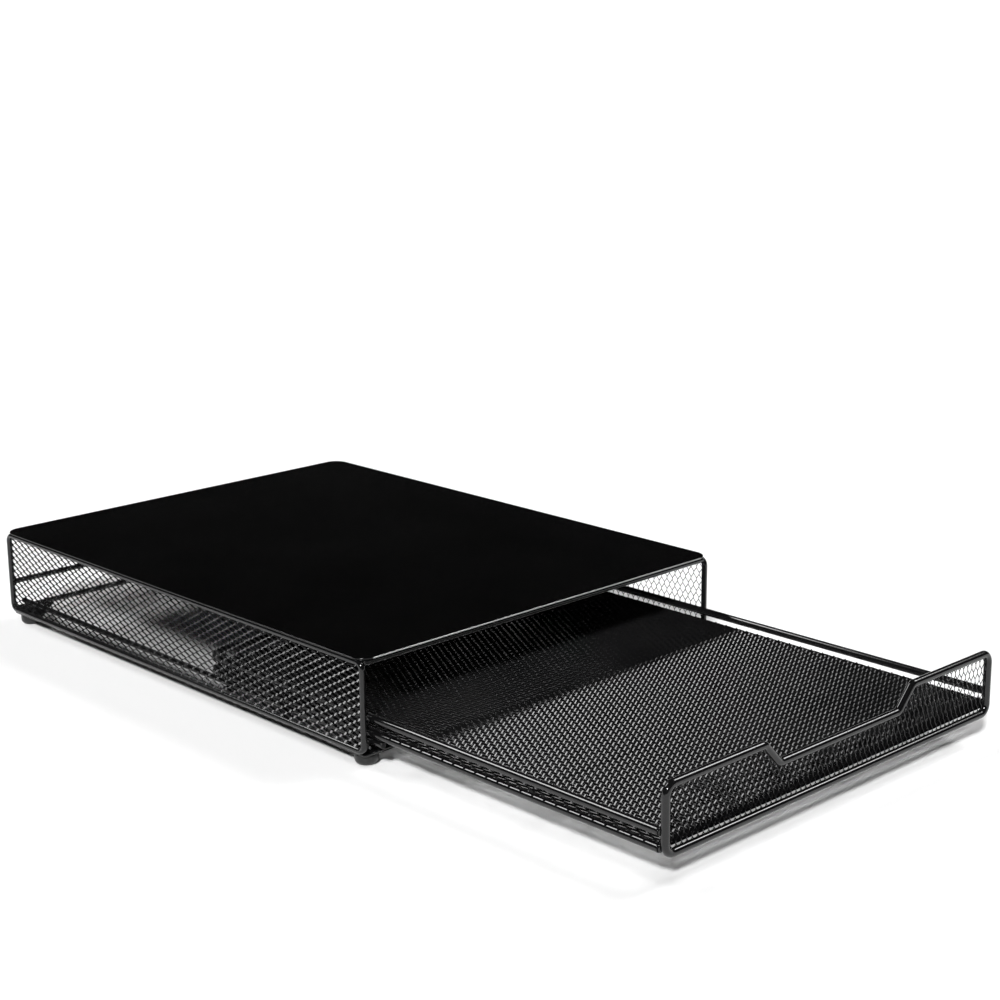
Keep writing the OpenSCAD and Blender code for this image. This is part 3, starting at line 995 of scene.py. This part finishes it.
@dataclass
class Cabinet(Assembly):
    """The cabinet: top sheet, side frames, panels, cross wires, gussets, feet and runners."""

    sheet_corner: float = 11.0 * MM
    sheet_edge: float = 0.35 * MM
    frame_bend: float = 4.5 * MM
    side_metal: ExpandedMetal = ExpandedMetal(
        long_pitch=8.7 * MM,
        short_pitch=4.8 * MM,
        strand=0.62 * MM,
        bond=1.5 * MM,
        thickness=0.42 * MM,
        lean=math.radians(-48.0),
    )
    gusset_corner: float = 2.0 * MM
    gusset_tip: float = 1.0 * MM
    gusset_edge: float = 0.25 * MM
    gusset_weld: tuple[float, float, float] = (2.0 * MM, 0.9 * MM, 0.8 * MM)
    gusset_weld_at: tuple[float, float] = (0.2, 0.7)
    bracket_edge: float = 0.15 * MM
    support_wires: int = 2
    rod_swell: tuple[float, float] = (1.12, 1.12)

    def build(self) -> None:
        """Builds the whole cabinet."""
        self.top_sheet()
        for side in Side:
            self.side_frame(side)
            self.side_panel(side)
            self.runner(side)
            for place in ("front", "stop", "rear"):
                self.bracket(side, place)
            for end in End:
                self.gusset(side, end)
                self.foot(side, end)
        self.cross_wires()
        self.rivets()
        self.welds()

    def top_sheet(self) -> None:
        """The sheet: a rounded rectangle with soft rims."""
        low, high = extent("top_plate")
        corners = [low[:2], (high[0], low[1]), high[:2], (low[0], high[1])]
        outline = rounded_path(corners, [self.sheet_corner] * 4, True, steps=20)
        shell = plate(outline, low[2], high[2], self.sheet_edge)
        self.add("top_sheet", shell, "top_plate", slot=Slot.SHEET)

    def frame_loop(self, side: Side) -> tuple[np.ndarray, np.ndarray, float]:
        """The lowest and highest corner of a side frame's middle line, and the wire's radius."""
        low, high = extent(f"{side.word}_side_frame")
        radius = float(high[0] - low[0]) / 2.0
        return low + radius, high - radius, radius

    def side_frame(self, side: Side) -> None:
        """A closed loop of wire round the side."""
        low, high, radius = self.frame_loop(side)
        x = low[0]
        corners = [
            (x, low[1], low[2]), (x, high[1], low[2]), (x, high[1], high[2]), (x, low[1], high[2])
        ]
        path = rounded_path(corners, [self.frame_bend] * 4, True)
        shell = sweep(path, X_AXIS, circle_section(radius), True)
        name = f"{side.word}_side_frame"
        self.add(f"{name}_wire", shell, name)

    def side_panel(self, side: Side) -> None:
        """Expanded metal inside the side frame, its rim let into the wire.

        The left panel's openings lie along the depth, and the right panel's stand upright.
        """
        low, high, _ = self.frame_loop(side)
        origin = np.array([low[0], high[1], low[2]])
        depth, height = high[1] - low[1], high[2] - low[2]
        if side is Side.LEFT:
            panel, size = Panel(origin, -Y_AXIS, Z_AXIS, -X_AXIS), (depth, height)
        else:
            panel, size = Panel(origin, Z_AXIS, -Y_AXIS, X_AXIS), (height, depth)
        shell = self.side_metal.build(panel, size, fit=inside_rounded(size, self.frame_bend))
        name = f"{side.word}_side_mesh"
        self.add(f"{name}_panel", shell, name, slot=Slot.MESH)

    def cross_wires(self) -> None:
        """The wires across the cabinet, each with a weld at both ends."""
        for node, count in (
            ("top_front_wire", 1), ("top_rear_wire", 1), ("top_support_wires", self.support_wires),
            ("back_upper_bar", 1), ("back_lower_bar", 1),
        ):
            self.rods(node, count, f"{node}_rod", self.rod_swell)

    def gusset(self, side: Side, end: End) -> None:
        """A three-cornered plate in the corner of the base."""
        name = f"gusset_{end.word}_{side.word}"
        low, high = extent(name)
        x0, x1 = (low[0], high[0]) if side is Side.LEFT else (high[0], low[0])
        y0, y1 = (low[1], high[1]) if end is End.FRONT else (high[1], low[1])
        radii = [self.gusset_corner, self.gusset_tip, self.gusset_tip]
        outline = rounded_path([(x0, y0), (x1, y0), (x0, y1)], radii, True, steps=6)
        shell = plate(outline, low[2], high[2], self.gusset_edge)
        self.add(f"{name}_plate", shell, name)
        length, width, height = self.gusset_weld
        across, along = self.gusset_weld_at
        self.weld((x1 * across + x0 * (1 - across), y0, high[2]), (length, width, height))
        self.weld((x0, y1 * along + y0 * (1 - along), high[2]), (width, length, height))

    def foot(self, side: Side, end: End) -> None:
        """A rubber foot: a round pad with a soft lower rim and a recess for the rivet."""
        name = f"foot_{end.word}_{side.word}"
        low, high = extent(name)
        radius = float(high[0] - low[0]) / 2.0
        height = float(high[2] - low[2])
        recess, depth, soft = 3.15 * MM, 3.2 * MM, 3.2 * MM
        lip, small, chamfer = 0.3 * MM, 0.4 * MM, 1.4 * MM
        t = np.linspace(0.0, math.pi / 2.0, num=9)
        rim = np.stack([radius - soft * (1.0 - np.sin(t)), soft * (1.0 - np.cos(t))], 1)
        profile = [
            (0.0, depth), (recess - small, depth), (recess, depth - lip),
            (recess, lip), (recess + lip, 0.0), *rim.tolist(),
            (radius, height - chamfer), (radius - small, height - small),
            (radius - chamfer, height), (0.0, height),
        ]
        centre = ((low[0] + high[0]) / 2.0, (low[1] + high[1]) / 2.0, low[2])
        self.add(f"{name}_pad", revolve(profile, centre), name, slot=Slot.RUBBER)

    def rivets(self) -> None:
        """A domed rivet through each foot and its gusset."""
        low, high = extent("foot_rivets")
        head, shank, crown, neck, under_share = 3.0 * MM, 1.6 * MM, 1.1 * MM, 1.15 * MM, 0.9
        tall = float(high[2] - low[2])
        t = np.linspace(0.0, math.pi / 2.0, num=6)
        dome = np.stack([head * np.cos(t), tall - crown + crown * np.sin(t)], 1)
        under = np.stack([head * np.sin(t), crown * (1.0 - np.cos(t)) * under_share], 1)
        profile = [
            *under.tolist(), (head, crown), (shank, neck), (shank, tall - neck), *dome.tolist()
        ]
        profile[-1] = [0.0, tall]
        xs = (low[0] + head, high[0] - head)
        ys = (low[1] + head, high[1] - head)
        shells = [revolve(profile, (x, y, low[2]), sides=32) for x in xs for y in ys]
        self.add("foot_rivet_set", joined(shells), "foot_rivets", slot=Slot.RIVET)

    def runner(self, side: Side) -> None:
        """A round rod that carries the tray."""
        node = f"runner_{side.word}"
        shell = wire_shell(straight_wires(node, 1)[0], wire_radius(node))
        self.add(f"{node}_rod", shell, node)

    def bracket(self, side: Side, place: str) -> None:
        """A small plate that cradles the runner, with a round notch for it."""
        node = f"runner_{place}_bracket_{side.word}"
        low, high = extent(node)
        run_low, run_high = extent(f"runner_{side.word}")
        middle = float(run_low[0] + run_high[0]) / 2.0
        radius = float(run_high[0] - run_low[0]) / 2.0
        a = np.linspace(0.0, math.pi, num=13)[1:-1]
        notch = np.stack([middle + radius * np.cos(a), high[2] - radius * np.sin(a)], 1)
        inner, outer = (high[0], low[0]) if side is Side.LEFT else (low[0], high[0])
        notch = notch if side is Side.RIGHT else notch[::-1]
        outline = np.concatenate([[(inner, low[2]), (outer, low[2]), (outer, high[2])], notch])
        shell = plate(outline, 0.0, high[1] - low[1], self.bracket_edge)
        x, z, y = shell.points.T
        shell.points = np.stack([x, low[1] + y, z], 1)
        self.add(f"{node}_plate", shell.outward(), node)


# ---- Drawer ----------------------------------------------------------------------------------


@dataclass
class Drawer(Assembly):
    """The drawer: front frame with its dip, floor, side wires, cross wires and hooks."""

    front_bend: float = 6.0 * MM
    dip_bend: float = 5.0 * MM
    dip_half: float = 53.0 * MM
    dip_run: float = 12.7 * MM
    dip_depth: float = 13.4 * MM
    tray_bend: float = 12.0 * MM
    rear_cross_wires: int = 3
    rear_uprights: int = 4
    rod_swell: tuple[float, float] = (1.15, 1.1)
    front_metal: ExpandedMetal = ExpandedMetal(
        long_pitch=9.3 * MM,
        short_pitch=4.2 * MM,
        strand=0.66 * MM,
        bond=1.9 * MM,
        thickness=0.42 * MM,
        lean=math.radians(34.0),
    )
    floor_metal: ExpandedMetal = ExpandedMetal(
        long_pitch=8.9 * MM,
        short_pitch=4.8 * MM,
        strand=0.85 * MM,
        bond=0.8 * MM,
        thickness=0.6 * MM,
        lean=math.radians(-41.0),
    )
    tray_weld: tuple[float, float] = (2.2 * MM, 0.9 * MM)
    tray_weld_inset: float = 0.995
    tray_weld_ahead: float = 0.1 * MM
    upright_weld: float = 0.7 * MM
    upright_swell: tuple[float, float] = (1.2, 1.1)
    floor_lift: float = 0.15 * MM
    floor_slack: float = 0.05
    floor_fall: float = 0.95
    lip_pitch: float = 2.1 * MM
    lip_strand: float = 0.6 * MM
    lip_inset: float = 0.05 * MM
    lip_corner: float = 0.1 * MM
    hook_thickness: float = 1.5 * MM
    hook_bend: float = 1.0 * MM
    hook_edge: float = 0.3 * MM

    def build(self) -> None:
        """Builds the whole drawer."""
        self.front_frame()
        self.front_panel()
        self.tray_wire("tray_base_wire")
        self.tray_wire("tray_guard_wire")
        self.floor()
        self.cross_wires()
        self.uprights()
        for side in Side:
            self.hook(side)
        self.welds()

    def front_line(self) -> tuple[np.ndarray, np.ndarray, float]:
        """The lowest and highest corner of the front wire's middle line, and its radius."""
        low, high = extent("drawer_front_frame")
        radius = float(high[1] - low[1]) / 2.0
        return low + radius, high - radius, radius

    def front_frame(self) -> None:
        """The front's bent wire, a closed loop with a dip for the fingers."""
        low, high, radius = self.front_line()
        y, shoulder, dip = low[1], self.dip_half + self.dip_run, high[2] - self.dip_depth
        corners = [
            (low[0], y, low[2]), (high[0], y, low[2]), (high[0], y, high[2]),
            (shoulder, y, high[2]), (self.dip_half, y, dip), (-self.dip_half, y, dip),
            (-shoulder, y, high[2]), (low[0], y, high[2]),
        ]
        radii = [self.front_bend] * 3 + [self.dip_bend] * 4 + [self.front_bend]
        path = rounded_path(corners, radii, True)
        shell = sweep(path, Y_AXIS, circle_section(radius, FINE_SIDES), True)
        self.add("drawer_front_wire", shell, "drawer_front_frame")

    def front_panel(self) -> None:
        """Expanded metal with upright openings, its rim let into the front wire.

        The upper limit falls with the wire's middle line over the dip.
        """
        low, high, _ = self.front_line()
        size = (high[2] - low[2], high[0] - low[0])
        panel = Panel(np.array([high[0], low[1], low[2]]), Z_AXIS, -X_AXIS, -Y_AXIS)
        into = inside_rounded(size, self.front_bend)
        middle = size[1] / 2.0

        def fit(flat: np.ndarray) -> np.ndarray:
            """The points, moved into the front wire's outline."""
            moved = into(flat)
            off = np.abs(moved[:, 1] - middle)
            share = np.clip((self.dip_half + self.dip_run - off) / self.dip_run, 0, 1)
            moved[:, 0] = np.minimum(moved[:, 0], size[0] - self.dip_depth * share)
            return moved

        shell = self.front_metal.build(panel, size, fit=fit)
        self.add("drawer_front_panel", shell, "drawer_front_mesh", slot=Slot.MESH)

    def tray_line(self, node: str) -> tuple[np.ndarray, np.ndarray, float]:
        """The corners of a tray wire's middle line, from its box, and the wire's radius."""
        low, high = extent(node)
        radius = float(high[2] - low[2]) / 2.0
        first = np.array([low[0] + radius, low[1], low[2] + radius])
        last = np.array([high[0] - radius, high[1] - radius, low[2] + radius])
        return first, last, radius

    def tray_wire(self, node: str) -> None:
        """A wire bent to a U round the tray's sides and rear."""
        (x0, y0, z), (x1, y1, _), radius = self.tray_line(node)
        corners = [(x0, y0, z), (x0, y1, z), (x1, y1, z), (x1, y0, z)]
        path = rounded_path(corners, [0.0, self.tray_bend, self.tray_bend, 0.0], False, steps=16)
        shell = sweep(path, Z_AXIS, circle_section(radius, FINE_SIDES), False, BENT_BLUNT)
        self.add(f"{node}_rod", shell, node)
        size = (*self.tray_weld, radius * self.rod_swell[1])
        for x in (x0, x1):
            self.weld((x * self.tray_weld_inset, y0 - self.tray_weld_ahead, z), size)

    def floor(self) -> None:
        """The floor's expanded metal, lapped over the side wires.

        Its sides end in a row of bonds. Past the side wire's crown the sheet drops by
        R - sqrt(R * R - d * d), with d the way past the crown and R the wire's radius plus the
        sheet's thickness.
        """
        low, high = extent("tray_floor_mesh")
        _, base_high, radius = self.tray_line("tray_base_wire")
        size = (high[1] - low[1], high[0] - low[0])
        rows = round(size[1] / (self.floor_metal.short_pitch / 2.0))
        metal = replace(self.floor_metal, short_pitch=2.0 * size[1] / rows)
        middle_z = (low[2] + high[2]) / 2.0 + self.floor_lift
        panel = Panel(np.array([high[0], low[1], middle_z]), Y_AXIS, -X_AXIS, Z_AXIS)
        corner, slack = self.tray_bend, self.floor_slack * metal.short_pitch

        def keep(flat: np.ndarray) -> np.ndarray:
            """Which of the points lie inside the base wire's outline."""
            inside = (flat[:, 0] > 0.0) & (flat[:, 0] < size[0])
            inside &= (flat[:, 1] > -slack) & (flat[:, 1] < size[1] + slack)
            over = np.maximum(flat[:, 0] - (size[0] - corner), 0.0)
            off = np.maximum(np.abs(flat[:, 1] - size[1] / 2.0) - (size[1] / 2.0 - corner), 0.0)
            return inside & (np.hypot(over, off) < corner + slack)

        shell = metal.build(panel, size, keep=keep)
        reach = radius + metal.thickness
        past = np.abs(shell.points[:, 0]) - base_high[0]
        past = np.clip(past, 0.0, self.floor_fall * reach)
        shell.points[:, 2] -= reach - np.sqrt(reach * reach - past * past)
        self.add("tray_floor_panel", shell, "tray_floor_mesh", slot=Slot.MESH)
        self.floor_lip(middle_z)

    def floor_lip(self, top: float) -> None:
        """The floor's front edge, turned down in front of the first cross wire."""
        low, _ = extent("tray_front_cross_wire")
        first, last, _ = self.tray_line("tray_base_wire")
        metal = replace(self.floor_metal, short_pitch=self.lip_pitch, strand=self.lip_strand)
        size = (last[0] - first[0], top - low[2])
        origin = np.array([first[0], low[1] + self.lip_inset, low[2]])
        fit = inside_rounded(size, self.lip_corner)
        shell = metal.build(Panel(origin, X_AXIS, Z_AXIS, -Y_AXIS), size, fit=fit)
        self.add("tray_floor_lip", shell, slot=Slot.MESH)

    def cross_wires(self) -> None:
        """The wires under the floor, welded to the base wire's sides."""
        counts = {"tray_front_cross_wire": 1, "tray_cross_wires": self.rear_cross_wires}
        for node, count in counts.items():
            self.rods(node, count, f"{node}_rods", self.rod_swell)

    def uprights(self) -> None:
        """The short posts between the base wire and the guard wire at the rear."""
        node = "tray_rear_uprights"
        low, high = extent(node)
        radius = float(high[1] - low[1]) / 2.0
        y = (low[1] + high[1]) / 2.0
        width, depth = (radius * swell for swell in self.upright_swell)
        shells = []
        for x in np.linspace(low[0] + radius, high[0] - radius, self.rear_uprights):
            line = np.array([(x, y, low[2]), (x, y, high[2])])
            shells.append(wire_shell(line, radius))
            for point in line:
                self.weld(point, (width, depth, self.upright_weld))
        self.add("tray_rear_upright_rods", joined(shells), node)

    def hook(self, side: Side) -> None:
        """A bent strip that reaches under the runner."""
        node = f"tray_hook_{side.word}"
        low, high = extent(node)
        thick = self.hook_thickness
        y = (low[1] + high[1]) / 2.0
        inner, tip = (low[0], high[0]) if side is Side.RIGHT else (high[0], low[0])
        inner += side.value * thick / 2.0
        z = low[2] + thick / 2.0
        corners = [(inner, y, high[2]), (inner, y, z), (tip, y, z)]
        path = rounded_path(corners, [0.0, self.hook_bend, 0.0], False, steps=6)
        section = strip_section(thick, float(high[1] - low[1]), self.hook_edge)
        self.add(f"{node}_strip", sweep(path, Y_AXIS, section, False, BENT_BLUNT), node)


# ---- Studio ----------------------------------------------------------------------------------


def seen_from(azimuth: float, elevation: float) -> Vector:
    """The direction towards a place. Azimuth 0 is behind a camera that looks along +Y."""
    flat = math.cos(elevation)
    return Vector((math.sin(azimuth) * flat, -math.cos(azimuth) * flat, math.sin(elevation)))


@dataclass(frozen=True)
class SunLamp:
    """A far lamp: where it stands, how strong it is and how wide it looks."""

    name: str
    azimuth: float
    elevation: float
    strength: float
    width: float

    def build(self) -> None:
        """Adds the lamp."""
        light = bpy.data.lights.new(self.name, "SUN")
        light.energy = self.strength
        light.angle = math.radians(self.width)
        lamp = bpy.data.objects.new(self.name, light)
        towards = seen_from(math.radians(self.azimuth), math.radians(self.elevation))
        lamp.rotation_euler = towards.to_track_quat("Z", "Y").to_euler()
        bpy.context.scene.collection.objects.link(lamp)


@dataclass(frozen=True)
class SkyStrip:
    """A long soft box high in the sky, running along one side axis.

    A direction (x, y, z) is inside where its across component over z is within half a width of
    the slope, and its along component lies between low and high.
    """

    along: str
    across: str
    slope: float
    half_width: float
    low: float
    high: float
    strength: float
    side_softness: float = 0.25
    end_softness: float = 0.03
    least_height: float = 0.05

    def build(self, tree: Tree, parts: bpy.types.NodeOutputs) -> Socket:
        """Builds the strip's light in the sky.

        Args:
            tree: The world's node tree.
            parts: The sockets with a direction's X, Y and Z.

        Returns:
            The socket with the strip's light.
        """
        height = number(tree, "MAXIMUM", parts["Z"], self.least_height)
        ratio = number(tree, "DIVIDE", parts[self.across], height)
        off = number(tree, "ABSOLUTE", number(tree, "SUBTRACT", ratio, self.slope))
        masks = [
            ramp(tree, value, (edge - soft, edge + soft), target, "SMOOTHSTEP")
            for value, edge, soft, target in (
                (off, self.half_width, self.side_softness * self.half_width, (1.0, 0.0)),
                (parts[self.along], self.low, self.end_softness, (0.0, 1.0)),
                (parts[self.along], self.high, self.end_softness, (1.0, 0.0)),
            )
        ]
        mask = number(tree, "MULTIPLY", number(tree, "MULTIPLY", masks[0], masks[1]), masks[2])
        return number(tree, "MULTIPLY", mask, self.strength)


@dataclass(frozen=True)
class Studio:
    """A plain pale floor, one lamp, a dim sky that is pale at the horizon, and the camera.

    The glow gives the sky's brightness at heights from the horizon, 0, to straight up, 1.
    """

    eye: tuple[float, float, float] = (-0.8297, -0.9154, 0.4399)
    azimuth: float = -43.494
    elevation: float = 14.578
    roll: float = -0.539
    lens: float = 71.32
    floor_colour: tuple[float, float, float] = (0.9, 0.9, 0.9)
    floor_size: float = 400.0
    floor_roughness: float = 0.9
    sensor: float = 36.0
    far_clip: float = 1000.0
    glow: tuple[tuple[float, float], ...] = (
        (0.0, 0.9), (1.0, 0.005), (0.03, 0.8), (0.08, 0.01), (0.2, 0.004)
    )
    lamp: SunLamp = SunLamp(
        "left_softbox", azimuth=-55.0, elevation=39.0, strength=3.9, width=8.0
    )
    strips: tuple[SkyStrip, ...] = (
        SkyStrip("Y", "X", slope=-0.34, half_width=0.28, low=0.57, high=0.74, strength=12.5),
        SkyStrip("X", "Y", slope=-0.22, half_width=0.22, low=0.54, high=0.78, strength=12.5),
    )

    def build(self) -> None:
        """Builds the floor, lamp, sky and camera."""
        self.floor()
        self.lamp.build()
        self.sky()
        self.camera()
        bpy.context.scene.view_settings.view_transform = "Standard"

    def floor(self) -> None:
        """A wide pale floor under the feet."""
        half = self.floor_size / 2.0
        points = np.array([(-half, -half, 0), (half, -half, 0), (half, half, 0), (-half, half, 0)])
        floor = make_piece("studio_floor", Shell(points, [np.array([[0, 1, 2, 3]])], [True]))
        material = bpy.data.materials.new("pale_floor")
        material.use_nodes = True
        tree = material.node_tree
        paint = {
            "Base Color": (*self.floor_colour, 1.0),
            "Roughness": self.floor_roughness,
            "Specular IOR Level": 0.0,
        }
        fill(tree, tree.nodes["Principled BSDF"], paint)
        floor.data.materials.append(material)

    def sky(self) -> None:
        """The world: pale at the horizon, dim above it, and with the strips."""
        world = bpy.data.worlds.new("studio_sky")
        world.use_nodes = True
        tree = world.node_tree
        place = add_node(tree, "TexCoord", {}).outputs["Generated"]
        parts = add_node(tree, "SeparateXYZ", {"Vector": place}).outputs
        horizon = add_node(tree, "ValToRGB", {"Fac": parts["Z"]})
        elements = horizon.color_ramp.elements
        ready = len(elements)
        for k, (position, value) in enumerate(self.glow):
            element = elements[k] if k < ready else elements.new(position)
            element.position, element.color = position, (value, value, value, 1.0)
        total = horizon.outputs["Color"]
        for strip in self.strips:
            both = {0: total, 1: strip.build(tree, parts)}
            total = add_node(tree, "VectorMath", both, operation="ADD").outputs["Vector"]
        fill(tree, tree.nodes["Background"], {"Color": total})
        bpy.context.scene.world = world

    def camera(self) -> None:
        """The camera at the photograph's place, turn and lens."""
        a, e, r = (math.radians(v) for v in (self.azimuth, self.elevation, self.roll))
        back = seen_from(a, e)
        right = Vector((math.cos(a), math.sin(a), 0.0))
        up = back.cross(right)
        turned = math.cos(r) * right + math.sin(r) * up
        upright = math.cos(r) * up - math.sin(r) * right
        data = bpy.data.cameras.new("photo_camera")
        data.lens = self.lens
        data.sensor_width = self.sensor
        data.clip_end = self.far_clip
        camera = bpy.data.objects.new("photo_camera", data)
        pose = Matrix((turned, upright, back)).transposed().to_4x4()
        pose.translation = Vector(self.eye)
        camera.matrix_world = pose
        bpy.context.scene.collection.objects.link(camera)
        bpy.context.scene.camera = camera


def main() -> None:
    """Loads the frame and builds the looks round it."""
    logging.basicConfig(level=logging.INFO, format="%(message)s")
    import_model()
    Studio().build()
    shop = Workshop.open()
    Cabinet(shop, Body.CABINET, Slot.WIRE).build()
    Drawer(shop, Body.DRAWER, Slot.DRAWER_WIRE).build()
    LOG.info("%d pieces", shop.count)


if __name__ == "__main__":
    main()
